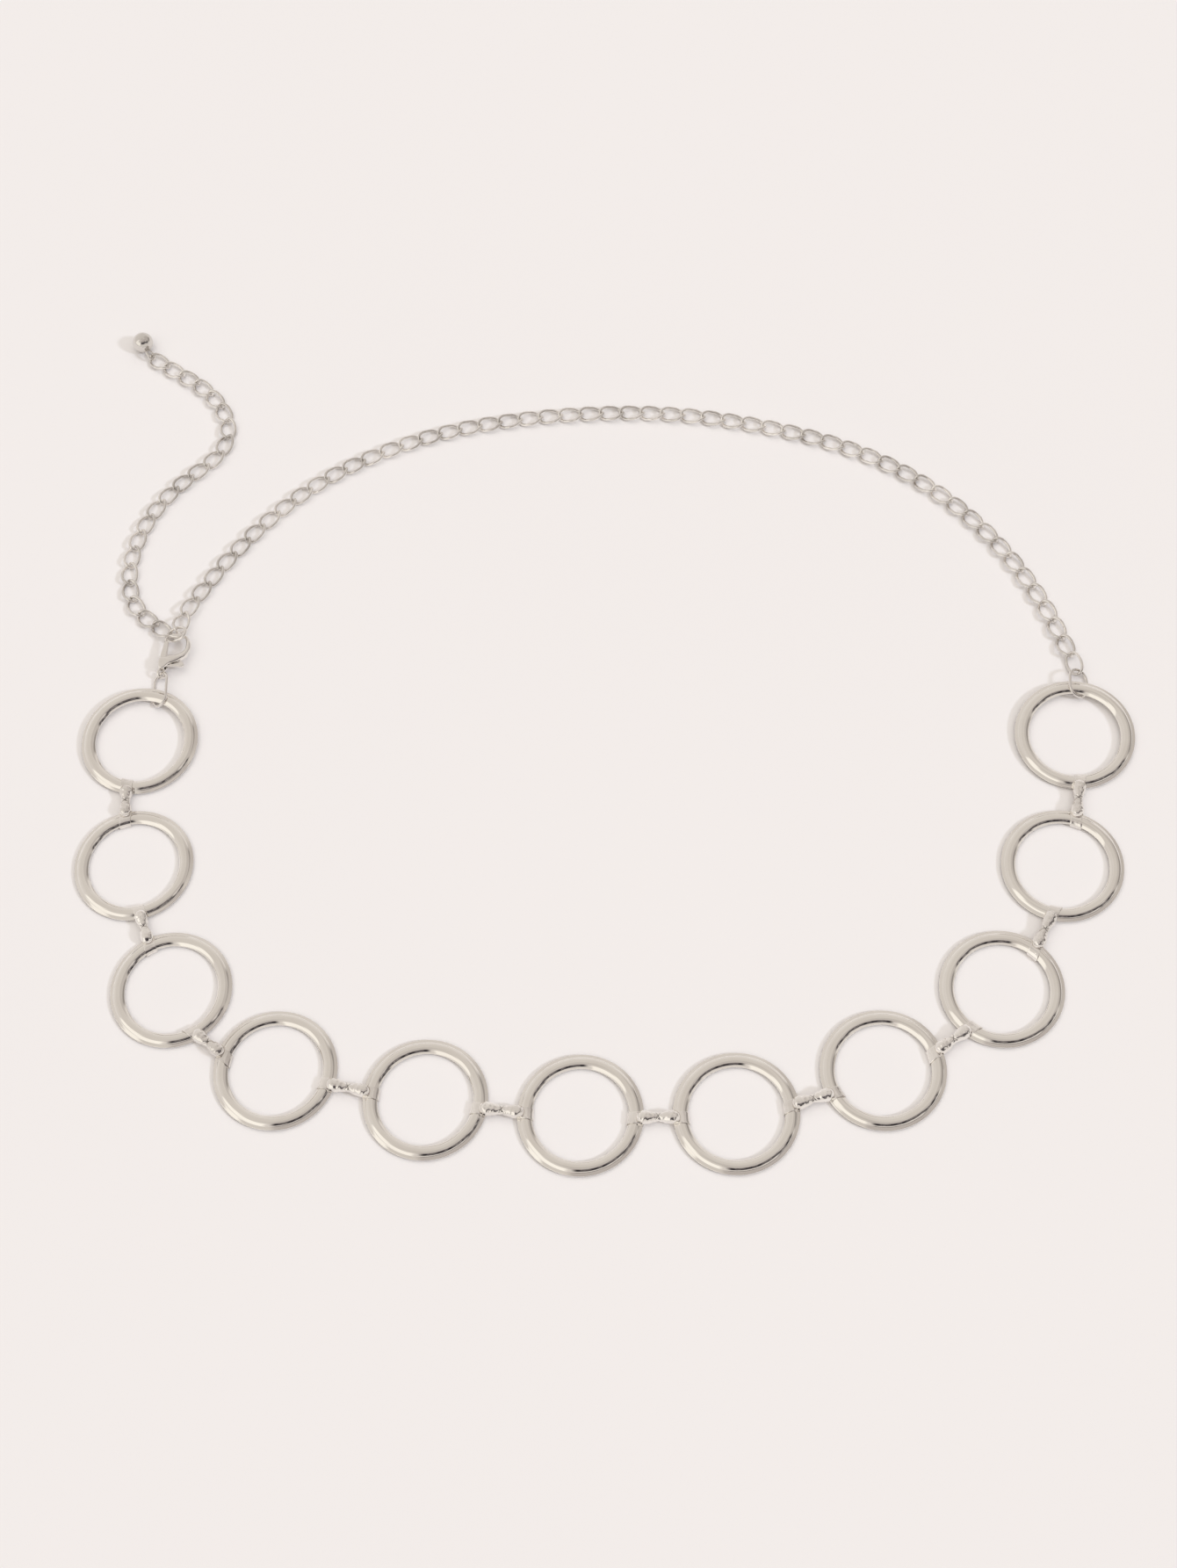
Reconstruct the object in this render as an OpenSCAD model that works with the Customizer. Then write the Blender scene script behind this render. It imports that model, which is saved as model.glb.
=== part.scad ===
// Waist chain: flat polished rings joined by strap connectors along the front, and one
// open curb chain over the back, which a lobster clasp holds and which runs on as a tail.
// It lies on a table. Millimetres, +X to the right, +Y to the back, +Z up.

/* [Rings] */
// Outside diameter of a ring
ring_od = 40; // [34:0.5:46]
// Width of the flat band that makes a ring, seen from above
ring_band = 4.8; // [4.2:0.1:5.6]
// Height of the band
ring_h = 1.5; // [1.2:0.1:2]

/* [Connectors] */
// Diameter of the round bulge at each end of a connector
bulge_d = 4.4; // [3.8:0.1:5]
// Diameter at the middle of a connector
waist_d = 2.8; // [2.4:0.1:3.6]
// Width of the strap that wraps a ring
strap_w = 3.8; // [3:0.1:4.4]
// Thickness of the strap
strap_t = 0.6; // [0.5:0.05:0.9]

/* [Chain] */
// Number of links from the right jump ring to the clasp
main_links = 54; // [50:1:58]
// Number of links in the free tail
tail_links = 21; // [12:1:21]
// Diameter of the chain wire
wire_d = 0.9; // [0.7:0.05:1]
// Width of a link, outside
link_w = 6.2; // [5.6:0.1:7]

/* [Jump rings] */
// Diameter of the jump ring wire
jump_wire_d = 1; // [0.8:0.05:1.1]
// Width of the right jump ring, outside
right_jump_w = 8.4; // [7.8:0.1:9]
// Width of the clasp's jump ring, outside
left_jump_w = 7.4; // [6.8:0.1:8]

/* [Clasp] */
// Thickness of the clasp
clasp_t = 3; // [2.7:0.1:3.6]
// Thickness of the sprung lever
lever_t = 1.3; // [1:0.1:1.6]
// Diameter of the lever's pivot pin
pin_d = 1; // [0.8:0.05:1.2]

/* [End ball] */
// Diameter of the ball at the end of the tail
ball_d = 7.5; // [6:0.1:9]

/* [Hidden] */
$fn = 48;
n_rings = 11;
// clearances: strap to ring, link to link along the chain, pin to lever, lever to slot
strap_clear = 0.3;
link_play = 0.3;
pin_clear = 0.06;
slot_clear = 0.2;

// ring section: upright edge, crease height, width of each slope
edge_h = 0.25;
crease_h = ring_h * 0.84;
slope_w = ring_band * 0.32;
r_out = ring_od / 2;
r_in = r_out - ring_band;
r_mid = r_out - ring_band / 2;
// the straps lie on the table and hold the rings above it
ring_lift = strap_t + strap_clear;
sleeve = strap_t + strap_clear;
// the first and the last ring lean on the wire of their jump rings
end_tilt = 2;

// placing of the rings: bearing of each step, and clear gap between the two rings of it
step_bearing = [-93, -75.5, -43.5, -17.5, -12, -5.5, 11, 29, 56.5, 75];
step_gap = [6.5, 7.5, 5.5, 9.5, 9.5, 9, 8.5, 7.5, 8.5, 8.5];
// how far each connector sits outward of the line between its ring centres
step_out = [3.5, 2.5, 6.5, 1.5, 1.5, 1.5, 3, 5, 4, 3];

function dir(a) = [cos(a), sin(a)];
function right_of(a) = [sin(a), -cos(a)];
function step_len(i) = ring_od + step_gap[i];
function ring_at(i) = i == 0 ? [0, 0] : ring_at(i - 1) + step_len(i - 1) * dir(step_bearing[i - 1]);
function half_span(i) = step_len(i) / 2 - sqrt(pow(r_mid, 2) - pow(step_out[i], 2));
function connector_at(i) =
    (ring_at(i) + ring_at(i + 1)) / 2 + step_out[i] * right_of(step_bearing[i]);
connector_z = ring_lift + 1.8;
// low collar round the middle of a connector: length, and height above the waist
collar_w = 0.5;
collar_h = 0.2;
last = n_rings - 1;

// end rings: bearing of the side that the jump ring lifts
function lift_bearing(i) = i == 0 ? step_bearing[0] + 180 : step_bearing[last - 1];
function tilt_of(i) = i == 0 || i == last ? end_tilt : 0;

// jump rings: where the wire crosses the band, seen from the ring's centre, and its bearing
right_cross = 76;
right_bearing = 80;
left_cross = 66;
left_bearing = 86;
right_roll = 34;
left_roll = -38;
jump_in = ring_band / 2 + jump_wire_d / 2 + 0.5;
right_reach = 6.8;
left_reach = 9;
// the band is crossed at a slant, so the wire passes further in on the left
left_in = jump_in + 0.2;
right_half_w = (right_jump_w - jump_wire_d) / 2;
left_half_w = (left_jump_w - jump_wire_d) / 2;
right_jump_z = jump_wire_d / 2 + right_half_w * sin(right_roll);
left_jump_z = jump_wire_d / 2 + left_half_w * sin(-left_roll);
right_base = ring_at(last) + r_mid * dir(right_cross);
left_base = ring_at(0) + r_mid * dir(left_cross);
right_tip = right_base + right_reach * dir(right_bearing);
// how far inside that tip the first link hangs
first_link_in = 0.75;
left_tip = left_base + left_reach * dir(left_bearing);

// clasp: the eye's centre is the jump ring's end, and its own Y runs to the hook's top
clasp_turn = -11.5;
clasp_z = 3.6;
hook_t = clasp_t * 0.6;
slot_t = lever_t + 2 * slot_clear;
pivot = [0.1, 4.3];
// how far each end of the pin sits in its cheek of the body
pin_bite = 0.1;
eye_r = 2;
eye_hole_r = jump_wire_d / 2 + 0.5;
eye_w = 1.4;
body_outline = [
    [-0.7, 1.2], [0.9, 1.2], [1.9, 2.4], [2.9, 3.1], [4.4, 4], [6.2, 5.2], [7.7, 6.9],
    [8.6, 9], [8.8, 10.9], [8.3, 12.7], [7.3, 14.2], [5.6, 15.3], [3.8, 15.6], [2, 15.4],
    [0.9, 14.9], [0, 14.1], [-0.8, 13.2], [-0.9, 12.5], [0.1, 12.5], [0.3, 13.8],
    [0.9, 13.9], [2, 13.7], [4.4, 13.8], [5.6, 14.1], [6.5, 13.2], [7, 11.2], [6.7, 9.3],
    [5.4, 7.9], [3.6, 6.9], [1.8, 6.5], [1, 5.8], [-1, 5.6], [-1.2, 3.2]
];
// room for the lever and its swing, in the middle of the thickness
slot_outline = [
    [-3, 2.6], [-0.6, 2.6], [1.2, 1.3], [3, 0.5], [7, 4.2], [5.4, 4.9], [2.8, 4.4],
    [2.7, 7.6], [-3, 7.6]
];
// the hook is thinner than the root, from this height up
hook_from = 7.2;
// more than the body reaches from its eye in any direction
body_reach = 20;
lever_outline = [
    [-0.9, 3.6], [0.1, 3.1], [2.8, 2.4], [5.2, 2.6], [6.4, 2.5], [8, 3.1], [8.2, 4],
    [6.6, 4.6], [5.1, 3.8], [2.8, 3.4], [1.5, 4.3], [1.3, 5.6], [1, 6.6], [0.8, 11],
    [0.5, 12.1], [-0.4, 12.2], [-0.8, 11.6], [-1.1, 8.4], [-1.2, 5]
];
lever_hub_r = 1.2;

// the link held by the clasp, in the clasp's own directions, with its lean and roll
held_at = [2.65, 15.42];
held_turn = -3;
held_lean = 31;
held_roll = 2;
// how far its middle lies below the clasp's
held_drop = 0.14;
// where the last link of the waist chain ends, in the same directions
chain_end = [2.9, 17];

// chain routes: [link number, bearing], joined evenly from one entry to the next
main_route = [
    [1, 101], [3, 104], [6, 113], [9, 122], [13, 136], [17, 150], [20, 158], [24, 164],
    [28, 173], [32, 179], [36, 186], [39, 195], [42, 203], [46, 218], [50, 229], [52, 234],
    [53, 238], [54, 252]
];
tail_route = [
    [1, 135], [2, 136], [3, 115], [4, 97], [6, 77], [8, 61], [10, 46], [11, 39], [12, 35],
    [13, 43], [14, 66], [15, 92], [16, 110], [17, 122], [18, 132], [19, 141], [21, 139]
];
link_z = 1.5;
// height of the joint after each link
main_height = [
    [0, right_jump_z], [1, 1.9], [2, link_z], [51, link_z], [52, 1.8], [53, 2.5], [54, 3.2]
];
tail_height = [[0, 1.93], [1, 1.6], [2, link_z], [tail_links, link_z]];
link_twist = -45;
// the waist chain's first link is flat, because the jump ring leans the other way
flat_roll = -40;
// the links next to the held link are turned about their own length
last_roll = -4;
last_twist = -66;
first_roll = 8;
first_twist = -55;
link_sections = 12;
wire_sides = 5;

function place(p, at, turn) = at + [
    p.x * cos(turn) - p.y * sin(turn),
    p.x * sin(turn) + p.y * cos(turn)
];
main_start = right_tip - first_link_in * dir(right_bearing);
main_end = place(chain_end, left_tip, clasp_turn);
// the route is scaled and turned a little so that it ends exactly at the held link
function route_sum(route, n, i = 1) =
    i > n ? [0, 0] : dir(lookup(i, route)) + route_sum(route, n, i + 1);
route_vec = route_sum(main_route, main_links);
route_gap = main_end - main_start;
pitch = norm(route_gap) / norm(route_vec);
route_turn = atan2(route_gap.y, route_gap.x) - atan2(route_vec.y, route_vec.x);
// the tail lies slack, so its links sit a little closer
tail_pitch = pitch - 0.25;

link_half = pitch / 2 + (wire_d + link_play) / 2;
link_half_w = (link_w - wire_d) / 2;
held_dir = clasp_turn + held_turn;
held_pos = place(held_at, left_tip, clasp_turn);
held_reach = (link_half - wire_d - link_play / 2) * cos(held_lean);
tail_start = held_pos - held_reach * dir(held_dir);

function bearing(i, route, turn) = lookup(i, route) + turn;
function joint(i, route, turn, start, step) =
    i == 0 ? start : joint(i - 1, route, turn, start, step) + step * dir(bearing(i, route, turn));
function tail_joint(i) = joint(i, tail_route, 0, tail_start, tail_pitch);

// ball and its eye at the end of the tail
ball_bearing = 117;
eye_half_len = 2.3;
eye_half_w = 1.7;
eye_wire_d = 0.8;
eye_roll = 50;
eye_from = 1.2;
ball_rise = 16;
ball_reach = eye_from + eye_half_len + ball_d / 2 - 0.5;
ball_pos = tail_joint(tail_links) + ball_reach * cos(ball_rise) * dir(ball_bearing);

// the whole part is moved so that the middle of its outline is the origin
left_edge = ring_at(1).x - r_out;
right_edge = ring_at(last).x + r_out;
front_edge = ring_at(6).y - r_out;
back_edge = ball_pos.y + ball_d / 2;
centre = [-(left_edge + right_edge) / 2, -(front_edge + back_edge) / 2, 0];

// ring section grown by g on every side
function section(g) = [
    [r_in - g, -g], [r_out + g, -g], [r_out + g, edge_h + g],
    [r_out - slope_w + g / 2, crease_h + g], [r_mid, ring_h + g],
    [r_in + slope_w - g / 2, crease_h + g], [r_in - g, edge_h + g]
];

module ring_solid(g) {
    rotate_extrude()
        polygon(section(g));
}

module ring_pose(i) {
    d = lift_bearing(i);
    edge = (r_out + sleeve) * dir(d);
    translate([ring_at(i).x - edge.x, ring_at(i).y - edge.y, ring_lift])
        rotate(a = tilt_of(i), v = [sin(d), -cos(d), 0])
            translate([edge.x, edge.y, 0])
                children();
}

module ring(i) {
    color([0.8, 0.8, 0.81])
        ring_pose(i)
            ring_solid(0);
}

module connector_pose(i) {
    p = connector_at(i);
    translate([p.x, p.y, connector_z])
        rotate([0, 0, step_bearing[i]])
            children();
}

module connector_bar(half) {
    bulge_r = bulge_d / 2;
    cylinder(h = collar_w, d = waist_d + 2 * collar_h, center = true);
    for (side = [0, 180])
        rotate([side, 0, 0]) {
            cylinder(h = half - bulge_r, r1 = waist_d / 2, r2 = bulge_r * 0.98);
            translate([0, 0, half - bulge_r])
                sphere(r = bulge_r);
        }
}

module connector(i) {
    half = half_span(i);
    strap_box = [ring_band + 4 * sleeve, strap_w, 4 * ring_h + 4 * sleeve];
    color([0.78, 0.78, 0.8])
        difference() {
            union() {
                connector_pose(i)
                    rotate([0, 90, 0])
                        connector_bar(half);
                for (side = [0, 1])
                    intersection() {
                        ring_pose(i + side)
                            ring_solid(sleeve);
                        connector_pose(i)
                            translate([(2 * side - 1) * half, 0, 0])
                                cube(strap_box, center = true);
                    }
            }
            for (side = [0, 1])
                ring_pose(i + side)
                    ring_solid(strap_clear);
        }
}

// oval ring of round wire, long way along X, its outer tip at X = 0
module oval_ring(half_len, half_w, d) {
    flat = half_len - half_w;
    translate([-half_len, 0, 0]) {
        for (side = [-1, 1]) {
            translate([side * flat, 0, 0])
                rotate([0, 0, -90 * side])
                    rotate_extrude(angle = 180)
                        translate([half_w, 0])
                            circle(d = d);
            translate([-flat, side * half_w, 0])
                rotate([0, 90, 0])
                    cylinder(h = 2 * flat, d = d);
        }
    }
}

module jump_ring(tip, z, turn, roll, length, half_w) {
    color([0.78, 0.78, 0.8])
        translate([tip.x, tip.y, z])
            rotate([0, 0, turn])
                rotate([roll, 0, 0])
                    oval_ring(length / 2, half_w, jump_wire_d);
}

function link_point(t, w, twist) =
    let (
        a = link_half,
        b = link_half_w,
        nx = b * cos(t) / norm([b * cos(t), a * sin(t)]),
        nv = a * sin(t) / norm([b * cos(t), a * sin(t)]),
        r = wire_d / 2,
        turn = twist * cos(t),
        v = b * sin(t) + r * cos(w) * nv,
        s = r * sin(w)
    )
    [a * cos(t) + r * cos(w) * nx, v * cos(turn) - s * sin(turn), v * sin(turn) + s * cos(turn)];

link_faces = [
    for (i = [0:link_sections - 1])
        for (j = [0:wire_sides - 1])
            let (
                i2 = (i + 1) % link_sections,
                j2 = (j + 1) % wire_sides,
                p = i * wire_sides + j,
                q = i * wire_sides + j2,
                u = i2 * wire_sides + j,
                v = i2 * wire_sides + j2
            )
            for (f = [[p, v, u], [p, q, v]])
                f
];

// one twisted oval link, long way along X, centred
module chain_link(twist) {
    points = [
        for (i = [0:link_sections - 1])
            for (j = [0:wire_sides - 1])
                link_point(i * 360 / link_sections, j * 360 / wire_sides, twist)
    ];
    polyhedron(points = points, faces = link_faces, convexity = 4);
}

module run_link(i, route, turn, start, step, heights, roll, twist) {
    p = joint(i - 1, route, turn, start, step) + step / 2 * dir(bearing(i, route, turn));
    z0 = lookup(i - 1, heights);
    z1 = lookup(i, heights);
    translate([p.x, p.y, (z0 + z1) / 2])
        rotate([0, -atan2(z1 - z0, step), bearing(i, route, turn)])
            rotate([roll, 0, 0])
                chain_link(twist);
}

module waist_chain() {
    color([0.76, 0.76, 0.78]) {
        run_link(1, main_route, route_turn, main_start, pitch, main_height, flat_roll, 0);
        for (i = [2:main_links - 1])
            run_link(i, main_route, route_turn, main_start, pitch, main_height, 0, link_twist);
        run_link(main_links, main_route, route_turn, main_start, pitch, main_height,
            last_roll, last_twist);
        translate([held_pos.x, held_pos.y, clasp_z - held_drop])
            rotate([held_roll, -held_lean, held_dir])
                chain_link(0);
    }
}

module tail_chain() {
    color([0.76, 0.76, 0.78])
        for (i = [1:tail_links])
            run_link(i, tail_route, 0, tail_start, tail_pitch, tail_height,
                i == 1 ? first_roll : 0, i == 1 ? first_twist : link_twist);
}

module end_ball() {
    p = tail_joint(tail_links);
    color([0.8, 0.8, 0.82])
        translate([p.x, p.y, ball_d / 2 - ball_reach * sin(ball_rise)])
            rotate([0, -ball_rise, ball_bearing]) {
                translate([ball_reach, 0, 0])
                    sphere(d = ball_d);
                translate([eye_from + eye_half_len, 0, 0])
                    rotate([eye_roll, 0, 0])
                        oval_ring(eye_half_len, eye_half_w, eye_wire_d);
            }
}

module clasp_pose() {
    translate([left_tip.x, left_tip.y, clasp_z])
        rotate([0, 0, clasp_turn])
            children();
}

module plate(outline, thick) {
    translate([0, 0, -thick / 2])
        linear_extrude(height = thick)
            polygon(outline);
}

module clasp_body() {
    color([0.78, 0.78, 0.8])
        clasp_pose() {
            difference() {
                union() {
                    intersection() {
                        plate(body_outline, clasp_t);
                        translate([-body_reach, hook_from - 2 * body_reach, -clasp_t])
                            cube([2 * body_reach, 2 * body_reach, 2 * clasp_t]);
                    }
                    plate(body_outline, hook_t);
                    translate([0, 0, left_jump_z - clasp_z])
                        rotate([0, 90 + left_roll, 0])
                            cylinder(h = eye_w, r = eye_r, center = true);
                }
                plate(slot_outline, slot_t);
                translate([0, 0, left_jump_z - clasp_z])
                    rotate([0, 90 + left_roll, 0])
                        cylinder(h = 2 * eye_w, r = eye_hole_r, center = true);
            }
            translate([pivot.x, pivot.y, 0])
                cylinder(h = slot_t + 2 * pin_bite, d = pin_d, center = true);
        }
}

module clasp_lever() {
    color([0.82, 0.82, 0.84])
        clasp_pose()
            difference() {
                union() {
                    plate(lever_outline, lever_t);
                    translate([pivot.x, pivot.y, 0])
                        cylinder(h = lever_t, r = lever_hub_r, center = true);
                }
                translate([pivot.x, pivot.y, 0])
                    cylinder(h = 2 * lever_t, r = pin_d / 2 + pin_clear, center = true);
            }
}

module placed() {
    translate(centre)
        children();
}

placed() ring(0);  // ring_01
placed() ring(1);  // ring_02
placed() ring(2);  // ring_03
placed() ring(3);  // ring_04
placed() ring(4);  // ring_05
placed() ring(5);  // ring_06
placed() ring(6);  // ring_07
placed() ring(7);  // ring_08
placed() ring(8);  // ring_09
placed() ring(9);  // ring_10
placed() ring(10);  // ring_11
placed() connector(0);  // connector_01
placed() connector(1);  // connector_02
placed() connector(2);  // connector_03
placed() connector(3);  // connector_04
placed() connector(4);  // connector_05
placed() connector(5);  // connector_06
placed() connector(6);  // connector_07
placed() connector(7);  // connector_08
placed() connector(8);  // connector_09
placed() connector(9);  // connector_10
placed()  // jump_ring_right
    jump_ring(right_tip, right_jump_z, right_bearing, right_roll,
        right_reach + jump_in, right_half_w);
placed() waist_chain();
placed() tail_chain();
placed() end_ball();
placed() clasp_body();
placed() clasp_lever();
placed()  // clasp_jump_ring
    jump_ring(left_tip, left_jump_z, left_bearing, left_roll,
        left_reach + left_in, left_half_w);
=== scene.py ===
import math

import bmesh
import bpy
import numpy as np
from mathutils import Matrix, Vector


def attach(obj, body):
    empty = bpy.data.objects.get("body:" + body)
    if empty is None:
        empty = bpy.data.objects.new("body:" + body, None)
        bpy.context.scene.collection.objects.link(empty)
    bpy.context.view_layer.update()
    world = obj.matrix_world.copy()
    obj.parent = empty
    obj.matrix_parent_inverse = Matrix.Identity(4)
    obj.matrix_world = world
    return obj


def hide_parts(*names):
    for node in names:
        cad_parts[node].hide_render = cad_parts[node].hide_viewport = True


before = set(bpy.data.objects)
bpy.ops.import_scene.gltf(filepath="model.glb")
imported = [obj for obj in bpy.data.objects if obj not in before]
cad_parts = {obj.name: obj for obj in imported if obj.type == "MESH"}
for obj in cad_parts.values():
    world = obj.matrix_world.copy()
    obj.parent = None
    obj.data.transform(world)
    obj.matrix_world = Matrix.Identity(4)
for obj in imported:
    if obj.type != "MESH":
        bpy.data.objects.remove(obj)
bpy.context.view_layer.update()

MM = 0.001
BELT = "belt"
LEVER = "lever"

# Sizes in millimetres, the same as in the part's source.
RING_OD = 40.0
BAND = 4.8
RING_H = 1.5
BULGE_D = 4.4
WAIST_D = 2.8
STRAP_W = 3.8
STRAP_T = 0.6
MAIN_LINKS = 54
TAIL_LINKS = 21
WIRE_D = 0.9
LINK_W = 6.2
JUMP_WIRE_D = 1.0
RIGHT_JUMP_W = 8.4
LEFT_JUMP_W = 7.4
CLASP_T = 3.0
LEVER_T = 1.3
PIN_D = 1.0
BALL_D = 7.5
RINGS = 11

STRAP_CLEAR = 0.3
LINK_PLAY = 0.3
PIN_CLEAR = 0.06
SLOT_CLEAR = 0.2
R_OUT = RING_OD / 2
R_MID = R_OUT - BAND / 2
RING_LIFT = STRAP_T + STRAP_CLEAR
END_TILT = 2.0
# From each ring to the next: bearing, gap between the rings, and how far the connector
# stands out from the line between their centres.
STEP_BEARING = [-93, -75.5, -43.5, -17.5, -12, -5.5, 11, 29, 56.5, 75]
STEP_GAP = [6.5, 7.5, 5.5, 9.5, 9.5, 9, 8.5, 7.5, 8.5, 8.5]
STEP_OUT = [3.5, 2.5, 6.5, 1.5, 1.5, 1.5, 3, 5, 4, 3]
CONNECTOR_Z = RING_LIFT + 1.8
LAST = RINGS - 1


def along(deg):
    """Unit vector at a bearing, anticlockwise from +X."""
    return np.array([math.cos(math.radians(deg)), math.sin(math.radians(deg))])


def right_of(deg):
    """Unit vector to the right of a bearing."""
    return np.array([math.sin(math.radians(deg)), -math.cos(math.radians(deg))])


ring_at = [np.zeros(2)]
for i in range(LAST):
    ring_at.append(ring_at[i] + (RING_OD + STEP_GAP[i]) * along(STEP_BEARING[i]))
connector_at = [
    (ring_at[i] + ring_at[i + 1]) / 2 + STEP_OUT[i] * right_of(STEP_BEARING[i])
    for i in range(LAST)
]
half_span = [
    (RING_OD + STEP_GAP[i]) / 2 - math.sqrt(R_MID ** 2 - STEP_OUT[i] ** 2)
    for i in range(LAST)
]

# Jump rings, clasp and chain, as in the part's source. A jump ring hooks an end ring at one
# bearing from that ring's centre, and points along another.
RIGHT_BEARING = 80
LEFT_BEARING = 86
RIGHT_HOOK = 76
LEFT_HOOK = 66
RIGHT_ROLL = 34
LEFT_ROLL = -38
JUMP_IN = BAND / 2 + JUMP_WIRE_D / 2 + 0.5
RIGHT_REACH = 6.8
LEFT_REACH = 9.0
LEFT_PLAY = 0.2
RIGHT_HALF_W = (RIGHT_JUMP_W - JUMP_WIRE_D) / 2
LEFT_HALF_W = (LEFT_JUMP_W - JUMP_WIRE_D) / 2
RIGHT_JUMP_Z = JUMP_WIRE_D / 2 + RIGHT_HALF_W * math.sin(math.radians(RIGHT_ROLL))
LEFT_JUMP_Z = JUMP_WIRE_D / 2 + LEFT_HALF_W * math.sin(math.radians(-LEFT_ROLL))
right_tip = ring_at[LAST] + R_MID * along(RIGHT_HOOK) + RIGHT_REACH * along(RIGHT_BEARING)
left_tip = ring_at[0] + R_MID * along(LEFT_HOOK) + LEFT_REACH * along(LEFT_BEARING)

CLASP_TURN = -11.5
CLASP_Z = 3.6
PIVOT = (0.1, 4.3)
BODY_OUTLINE = [
    (-0.7, 1.2), (0.9, 1.2), (1.9, 2.4), (2.9, 3.1), (4.4, 4), (6.2, 5.2), (7.7, 6.9),
    (8.6, 9), (8.8, 10.9), (8.3, 12.7), (7.3, 14.2), (5.6, 15.3), (3.8, 15.6), (2, 15.4),
    (0.9, 14.9), (0, 14.1), (-0.8, 13.2), (-0.9, 12.5), (0.1, 12.5), (0.3, 13.8),
    (0.9, 13.9), (2, 13.7), (4.4, 13.8), (5.6, 14.1), (6.5, 13.2), (7, 11.2), (6.7, 9.3),
    (5.4, 7.9), (3.6, 6.9), (1.8, 6.5), (1, 5.8), (-1, 5.6), (-1.2, 3.2),
]
SLOT_OUTLINE = [
    (-3, 2.6), (-0.6, 2.6), (1.2, 1.3), (3, 0.5), (7, 4.2), (5.4, 4.9), (2.8, 4.4),
    (2.7, 7.6), (-3, 7.6),
]
LEVER_OUTLINE = [
    (-0.9, 3.6), (-0.3, 2.75), (0.4, 2.58), (0.8, 2.37), (1.28, 2.27), (1.8, 2.35), (2.8, 2.4),
    (5.2, 2.6), (6.2, 2.5), (7.3, 2.7), (7.7, 3.4), (7.2, 4.3), (6.2, 4.5), (5.1, 3.8),
    (2.8, 3.4), (1.5, 4.3), (1.3, 5.6), (1, 6.6), (0.8, 11),
    (0.5, 12.1), (-0.4, 12.2), (-0.8, 11.6), (-1.1, 8.4), (-1.2, 5),
]
# The link that the clasp holds
HELD_AT = (2.65, 15.42)
HELD_TURN = -3
HELD_LEAN = 31
HELD_ROLL = 2
HELD_DROP = 0.14
# Links are twisted about their length. The waist chain's first link is flat and rolled, and
# its last and the tail's first are rolled and twisted more.
LINK_TWIST = -45
FLAT_ROLL = -38
LAST_ROLL = -4
LAST_TWIST = -66
FIRST_ROLL = 8
FIRST_TWIST = -55
LINK_Z = 1.5
FIRST_LINK_IN = 0.75
CHAIN_END = (2.9, 17)
TAIL_SHORTER = 0.25

# Chain routes: (link number, bearing), and heights: (link number, height of its end).
MAIN_ROUTE = [
    (1, 101), (3, 104), (6, 113), (9, 122), (13, 136), (17, 150), (20, 158), (24, 164),
    (28, 173), (32, 179), (36, 186), (39, 195), (42, 203), (46, 218), (50, 229), (52, 234),
    (53, 238), (54, 252),
]
TAIL_ROUTE = [
    (1, 135), (2, 136), (3, 115), (4, 97), (6, 77), (8, 61), (10, 46), (11, 39), (12, 35),
    (13, 43), (14, 66), (15, 92), (16, 110), (17, 122), (18, 132), (19, 141), (21, 139),
]
MAIN_HEIGHT = [
    (0, RIGHT_JUMP_Z), (1, 1.9), (2, LINK_Z), (51, LINK_Z), (52, 1.8), (53, 2.5), (54, 3.2),
]
TAIL_HEIGHT = [(0, 1.93), (1, 1.6), (2, LINK_Z), (TAIL_LINKS, LINK_Z)]


def lookup(x, table):
    """The second column of a table, interpolated at x of the first."""
    return float(np.interp(x, [row[0] for row in table], [row[1] for row in table]))


def placed_at(p, at, turn):
    """Point p of a frame that stands at a place and is turned by some degrees."""
    c, s = math.cos(math.radians(turn)), math.sin(math.radians(turn))
    return np.array([at[0] + p[0] * c - p[1] * s, at[1] + p[0] * s + p[1] * c])


main_start = right_tip - FIRST_LINK_IN * along(RIGHT_BEARING)
main_end = placed_at(CHAIN_END, left_tip, CLASP_TURN)
route_vec = sum(along(lookup(i, MAIN_ROUTE)) for i in range(1, MAIN_LINKS + 1))
route_gap = main_end - main_start
PITCH = float(np.hypot(*route_gap) / np.hypot(*route_vec))
ROUTE_TURN = math.degrees(
    math.atan2(route_gap[1], route_gap[0]) - math.atan2(route_vec[1], route_vec[0])
)
TAIL_PITCH = PITCH - TAIL_SHORTER
LINK_HALF = PITCH / 2 + (WIRE_D + LINK_PLAY) / 2
LINK_HALF_W = (LINK_W - WIRE_D) / 2
held_dir = CLASP_TURN + HELD_TURN
held_pos = placed_at(HELD_AT, left_tip, CLASP_TURN)
held_reach = (LINK_HALF - WIRE_D - LINK_PLAY / 2) * math.cos(math.radians(HELD_LEAN))
tail_start = held_pos - held_reach * along(held_dir)


def joints(route, turn, start, step, count):
    """Ends of the links of a chain that follows a route."""
    points = [start]
    for i in range(1, count + 1):
        points.append(points[-1] + step * along(lookup(i, route) + turn))
    return points


main_joints = joints(MAIN_ROUTE, ROUTE_TURN, main_start, PITCH, MAIN_LINKS)
tail_joints = joints(TAIL_ROUTE, 0, tail_start, TAIL_PITCH, TAIL_LINKS)

BALL_BEARING = 117
BALL_RISE = 16
EYE_HALF_LEN = 2.3
EYE_HALF_W = 1.7
EYE_WIRE_D = 0.8
EYE_ROLL = 50
EYE_FROM = 1.2
EYE_SUNK = 0.5
BALL_REACH = EYE_FROM + EYE_HALF_LEN + BALL_D / 2 - EYE_SUNK
ball_pos = tail_joints[-1] + BALL_REACH * math.cos(math.radians(BALL_RISE)) * along(BALL_BEARING)
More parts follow.
